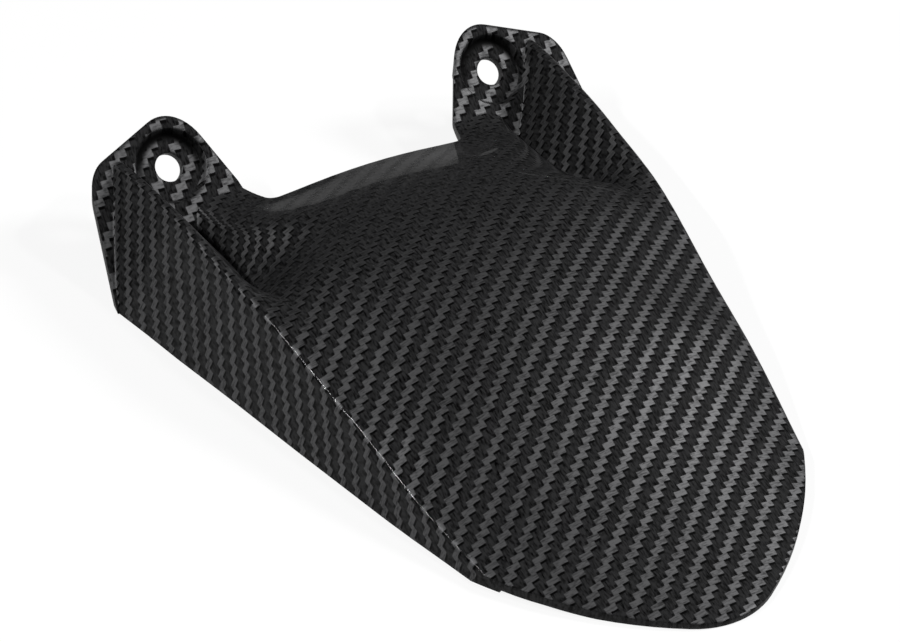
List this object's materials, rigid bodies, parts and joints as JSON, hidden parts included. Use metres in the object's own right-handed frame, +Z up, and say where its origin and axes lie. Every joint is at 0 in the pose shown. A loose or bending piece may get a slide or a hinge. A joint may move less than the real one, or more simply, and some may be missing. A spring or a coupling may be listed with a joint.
{
  "type": "shock_absorber_guard",
  "caption": "Moulded splash guard for a motorcycle rear shock absorber: a crowned, tapering panel with flared side walls, a rounded tip and raised bolt ears with sunken seats.",
  "frame": {"origin": "middle of the guard's bounding box at floor level, where the rim rests", "axes": "+X across the guard, +Y from the rounded tip towards the bolt ears, +Z up, away from the hollow underside"},
  "size_m": [0.1314, 0.1663, 0.0275],
  "materials": {
    "carbon_look": "woven carbon pattern under a glossy clear coat"
  },
  "bodies": {
    "root": {"guard_shell": "carbon_look"}
  },
  "joints": []
}
